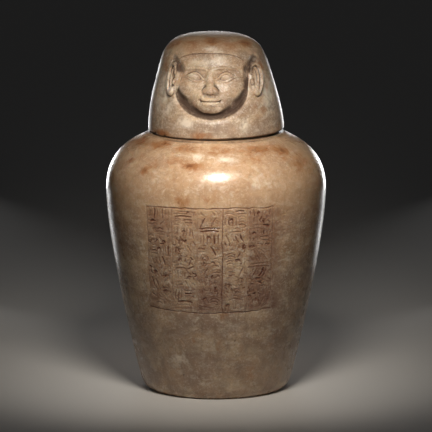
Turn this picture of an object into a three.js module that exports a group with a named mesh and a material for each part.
// A canopic jar in polished calcite (Egyptian alabaster): a hollow, high-shouldered jar and the
// human-headed stopper that rests on its rim. Millimetres, +Z up.
// The origin is the centre of the jar's underside, and the carved face looks along -Y.
import * as THREE from "three";

// ---------------------------------------------------------------- driving dimensions
const JAR_HEIGHT = 290; // underside to the flat rim that the stopper rests on
const BELLY_RADIUS = 123;
const BELLY_HEIGHT = 227; // height of the widest point
const FOOT_RADIUS = 76; // edge of the flat underside
const HEEL = new THREE.Vector2(85.7, 17); // where the rounded foot edge runs into the wall
const RIM_RADIUS = 77.5; // outer edge of the shoulder, just below the rim
const MOUTH_RADIUS = 56;
const NECK_DEPTH = 22; // straight length of the mouth
const FLOOR_THICKNESS = 34;
const CAVITY_RADIUS = 101; // inside the belly, so the wall is 22 thick there
const CAVITY_FOOT_RADIUS = 44; // flat part of the floor inside

const WIG_RADIUS = 76; // the wig at its lower edge
const WIG_HEIGHT = 109.6; // lower edge to crown
const TEMPLE = new THREE.Vector2(60.1, 78.4); // where the wig's side turns into the crown
const SEAT_RADIUS = 68; // outer edge of the flat that rests on the rim
const PLUG_RADIUS = 53.5; // the tenon that drops into the mouth
const PLUG_DEPTH = 16;
const SEAT_GAP = 0.3; // air between the two stones
const LEAN = 0.033; // the head leans towards -X by this much of its height
const TURN = 0.07; // radians that the face is turned towards -X
const EDGE_LIFT = 2.6; // how far the wig's lower edge is worn up on its +X side
const EDGE_HEIGHT = 8; // height where the lean starts, above the flat seat

const JAR_SEGMENTS = 48;
const HEAD_SEGMENTS = 72;
const FRONT_CROWDING = 0.55; // 0 spaces the columns evenly, nearer 1 crowds them into the face

// ---------------------------------------------------------------- outlines, as radius and height
const v2 = (radius, height) => new THREE.Vector2(radius, height);

function curve(points, steps) {
  const made =
    points.length === 3
      ? new THREE.QuadraticBezierCurve(...points)
      : new THREE.CubicBezierCurve(...points);
  return made.getPoints(steps);
}

// Joins stretches of outline, dropping each point that repeats the one before it.
function outline(...stretches) {
  return stretches.flat().filter((p, i, all) => i === 0 || p.distanceTo(all[i - 1]) > 1e-6);
}

function jarOutline() {
  const belly = v2(BELLY_RADIUS, BELLY_HEIGHT);
  const shoulderTop = v2(RIM_RADIUS, JAR_HEIGHT - 1.6);
  const mouthFoot = v2(MOUTH_RADIUS, JAR_HEIGHT - NECK_DEPTH);
  const cavityShoulder = v2(CAVITY_RADIUS, BELLY_HEIGHT + 22);
  const cavityBelly = v2(CAVITY_RADIUS, BELLY_HEIGHT - 2);
  const cavityWaist = v2(CAVITY_RADIUS, BELLY_HEIGHT - 70);
  const cavityHeel = v2(CAVITY_FOOT_RADIUS + 22, FLOOR_THICKNESS + 4);
  const floorEdge = v2(CAVITY_FOOT_RADIUS, FLOOR_THICKNESS);
  return outline(
    [v2(0, 0)],
    curve([v2(FOOT_RADIUS, 0), v2(HEEL.x - 2.6, HEEL.y - 13), HEEL], 3),
    curve([HEEL, v2(HEEL.x + 6, HEEL.y + 20), v2(BELLY_RADIUS, BELLY_HEIGHT - 58), belly], 9),
    curve([belly, v2(BELLY_RADIUS, BELLY_HEIGHT + 46), v2(RIM_RADIUS + 9, JAR_HEIGHT - 7.6), shoulderTop], 9),
    [v2(RIM_RADIUS - 2, JAR_HEIGHT), v2(MOUTH_RADIUS + 1.5, JAR_HEIGHT)],
    [v2(MOUTH_RADIUS, JAR_HEIGHT - 1.5), mouthFoot],
    curve([mouthFoot, v2(CAVITY_RADIUS - 6, mouthFoot.y), cavityShoulder, cavityBelly], 6),
    curve([cavityBelly, cavityWaist, cavityHeel, floorEdge], 8),
    [v2(0, FLOOR_THICKNESS)],
  );
}

// The wig from its lower edge to the crown, with even steps in height up the face.
function wigSide(height) {
  const side = new THREE.CubicBezierCurve(
    v2(WIG_RADIUS, 0),
    v2(WIG_RADIUS + 0.5, 24),
    v2(TEMPLE.x + 6.9, TEMPLE.y - 23),
    TEMPLE,
  );
  let low = 0;
  let high = 1;
  for (let i = 0; i < 30; i++) {
    const middle = (low + high) / 2;
    if (side.getPoint(middle).y < height) low = middle;
    else high = middle;
  }
  return side.getPoint(low).x;
}

function stopperOutline() {
  const rows = 27;
  const edge = 3.4; // height where the carved side begins, above the worn lower edge
  const side = Array.from({ length: rows + 1 }, (_, i) => {
    const height = edge + ((TEMPLE.y - edge) * i) / rows;
    return v2(wigSide(height), height);
  });
  const crown = curve(
    [TEMPLE, v2(TEMPLE.x - 8.6, WIG_HEIGHT - 2.6), v2(TEMPLE.x - 24, WIG_HEIGHT), v2(0, WIG_HEIGHT)],
    9,
  );
  return outline(
    [v2(0, -PLUG_DEPTH), v2(PLUG_RADIUS - 2, -PLUG_DEPTH), v2(PLUG_RADIUS, 2 - PLUG_DEPTH)],
    [v2(PLUG_RADIUS, 0), v2(SEAT_RADIUS, 0), v2(WIG_RADIUS - 0.8, 0.7)],
    side,
    crown,
  );
}

// ---------------------------------------------------------------- the carved head, as joined forms
// Points are (x, y, z) above the stopper's seat. Each form gives the distance to its surface,
// negative inside, and the forms are joined and cut with a soft edge of a given width.
const at = (x, y, z) => new THREE.Vector3(x, y, z);

function egg(p, centre, radii) {
  const q = p.clone().sub(centre).divide(radii);
  const near = q.length();
  return (near * (near - 1)) / Math.max(q.divide(radii).length(), 1e-9);
}

// A straight form from a to b whose radius runs from ra to rb.
function taper(p, a, b, ra, rb) {
  const along = b.clone().sub(a);
  const t = THREE.MathUtils.clamp(p.clone().sub(a).dot(along) / along.lengthSq(), 0, 1);
  return p.distanceTo(a.clone().addScaledVector(along, t)) - (ra + (rb - ra) * t);
}

function join(a, b, soft) {
  const h = THREE.MathUtils.clamp(0.5 + (0.5 * (b - a)) / soft, 0, 1);
  return b + (a - b) * h - soft * h * (1 - h);
}

const cut = (a, b, soft) => -join(-a, b, soft);

// The face is laid out by thirds and fifths: brow, nose and chin share its height equally, and an
// eye is a fifth of its width.
const CHIN = 27; // height of the chin's underside
const HAIRLINE = 94.5; // height of the wig's edge across the forehead
const FACE_HALF = 38;
const THIRD = 24; // brow to nose, and nose to chin
const NOSE_BASE = CHIN + THIRD;
const BROW = CHIN + 2 * THIRD;
const EYE = BROW - 7.5;
const MOUTH = CHIN + (THIRD * 2) / 3;
const FIFTH = (FACE_HALF * 2) / 5;
const CHIN_FORWARD = 0.085; // the lower face comes forward by this much of its height
const OPENING_HALF = 41; // half the width of the opening that the face looks out of
const RECESS_FLOOR = -47; // the opening is cut straight in, as deep as this Y
const FLARE = 0.5; // the opening narrows by this much of its depth

const ellipse = (x, z, height, rx, rz) => (Math.hypot(x / rx, (z - height) / rz) - 1) * Math.min(rx, rz);

// Distance to the outline of the opening, seen from the front: an arch over the brow, an egg below.
function opening(x, z) {
  const arch = ellipse(x, z, 66, OPENING_HALF, 40);
  const jaw = ellipse(x, z, 47, 37.5, 22.5);
  return cut(join(arch, jaw, 6), HAIRLINE - 0.003 * x * x - z, 7);
}

// mirrored holds |x|, so one form there makes a pair.
function faceForm(point) {
  const p = point.clone();
  p.y += CHIN_FORWARD * Math.max(62 - p.z, 0);
  const mirrored = at(Math.abs(p.x), p.y, p.z);
  const skull = egg(p, at(0, -19, 64), at(45, 42, 46));
  const jaw = egg(p, at(0, -30, 48), at(37.5, 33, 25));
  const cheeks = egg(mirrored, at(20, -44, NOSE_BASE + 4), at(15, 15.5, 14));
  const jowls = egg(mirrored, at(19, -43, CHIN + 12), at(15, 15.5, 11));
  const chin = egg(p, at(0, -58.5, CHIN + 6.4), at(10.2, 8.2, 6.4));
  const sockets = egg(mirrored, at(FIFTH + 1, -67.6, EYE + 2.2), at(13.2, 8, 6.8));
  const eyes = egg(mirrored, at(FIFTH / 2 + 9.7, -50.6, EYE - 0.3), at(10, 8.8, 6.6));
  const bridge = taper(p, at(0, -59, BROW), at(0, -68.5, NOSE_BASE + 6), 3.2, 5.2);
  const nostrils = egg(mirrored, at(6, -66.5, NOSE_BASE + 3.6), at(4.4, 5, 4));
  const muzzle = egg(p, at(0, -54.5, MOUTH + 1), at(16, 11.5, 10));
  const upperLip = egg(mirrored, at(4.4, -63, MOUTH + 2.1), at(7.6, 5, 2.7));
  const lowerLip = egg(p, at(0, -63, MOUTH - 2.6), at(8.6, 5, 2.9));
  let d = join(join(join(join(skull, jaw, 10), cheeks, 9), jowls, 8), chin, 8);
  d = join(cut(d, sockets, 7), eyes, 2.2);
  d = join(join(d, bridge, 5), nostrils, 3);
  return join(join(join(d, muzzle, 7), upperLip, 2), lowerLip, 2);
}

// The ears stand forward of the wig, high on the head, and lie along its slope.
function earForm(p) {
  const turn = 0.6; // radians that the ear's plate is turned from facing straight ahead
  const centre = at(45.4, -45.6, 64);
  const q = at(Math.abs(p.x), p.y, p.z).sub(centre).applyAxisAngle(at(0, 0, 1), -turn);
  q.y += wigSide(THREE.MathUtils.clamp(p.z, 0, TEMPLE.y)) - wigSide(centre.z);
  const plate = egg(q, at(0, 0.6, 0), at(8.4, 7, 18.5));
  return cut(plate, egg(q, at(-0.8, -6.8, 2), at(4.4, 4.6, 12)), 2);
}

function headForm(p) {
  const height = THREE.MathUtils.clamp(p.z, 0, TEMPLE.y);
  const above = Math.max(p.z - TEMPLE.y, 0);
  const wig = Math.hypot(p.x, p.y) - (wigSide(height) - 0.3 * above - 0.007 * above * above);
  const recess = p.y < 0 ? Math.max(opening(p.x, p.z) - FLARE * wig, p.y - RECESS_FLOOR) : 50;
  return join(join(cut(wig, recess, 2.5), faceForm(p), 3), earForm(p), 2.5);
}

// ---------------------------------------------------------------- shaping a turned blank
// Walks in from outside, along the line the chisel would take, until it meets the carved surface.
// The lines run almost straight back over the face and swing round to the radius at the sides.
function carved(blankPoint, angle) {
  const chisel = 300; // the lines over the face meet this far behind the axis
  const straight = Math.atan2(blankPoint.x, chisel - blankPoint.y);
  const side = THREE.MathUtils.smoothstep(Math.abs(angle), 0.7, 1.1);
  const heading = straight + (angle - straight) * side;
  const outward = at(Math.sin(heading), -Math.cos(heading), 0);
  const p = blankPoint.clone().addScaledVector(outward, 18);
  for (let step = 0; step < 80; step++) {
    const d = headForm(p);
    if (Math.abs(d) < 0.005) break;
    p.addScaledVector(outward, -0.75 * d);
  }
  const low = THREE.MathUtils.smoothstep(blankPoint.z, 4, 9);
  const high = 1 - THREE.MathUtils.smoothstep(blankPoint.z, 95, 100);
  return blankPoint.clone().lerp(p, low * high);
}

// The angle is 0 at the front, and columns crowd towards it.
function carveHead(x, y, z) {
  const blank = Math.hypot(x, y);
  const even = Math.atan2(x, -y);
  const angle = even - FRONT_CROWDING * Math.sin(even);
  const onBlank = at(blank * Math.sin(angle), -blank * Math.cos(angle), z);
  const isSide = z > 3 && z < 101 && blank > 1;
  const p = isSide ? carved(onBlank, angle) : onBlank;
  const isEdge = z > 0 && z < 1;
  if (isEdge) p.z += EDGE_LIFT * (0.5 + 0.5 * Math.sin(angle));
  p.applyAxisAngle(at(0, 0, 1), -TURN);
  p.x -= LEAN * Math.max(z - EDGE_HEIGHT, 0);
  return p;
}

// Turns an outline about the Z axis, then moves each vertex by reshape(x, y, z).
function turned(points, segments, reshape) {
  const geometry = new THREE.LatheGeometry(points, segments).rotateX(Math.PI / 2);
  if (!reshape) return geometry;
  const position = geometry.getAttribute("position");
  for (let i = 0; i < position.count; i++) {
    const moved = reshape(position.getX(i), position.getY(i), position.getZ(i));
    position.setXYZ(i, moved.x, moved.y, moved.z);
  }
  geometry.computeVertexNormals();
  return geometry;
}

// ---------------------------------------------------------------- the two stones
function calcite(color, roughness) {
  return new THREE.MeshStandardMaterial({ color, roughness, metalness: 0 });
}

function jar() {
  const mesh = new THREE.Mesh(turned(jarOutline(), JAR_SEGMENTS), calcite(0xb79a78, 0.32));
  mesh.name = "jar";
  return mesh;
}

function headStopper() {
  const mesh = new THREE.Mesh(
    turned(stopperOutline(), HEAD_SEGMENTS, carveHead),
    calcite(0xbba283, 0.4),
  );
  mesh.name = "head_stopper";
  mesh.position.z = JAR_HEIGHT + SEAT_GAP;
  return mesh;
}

const canopicJar = new THREE.Group();
canopicJar.add(jar(), headStopper());

export default canopicJar;
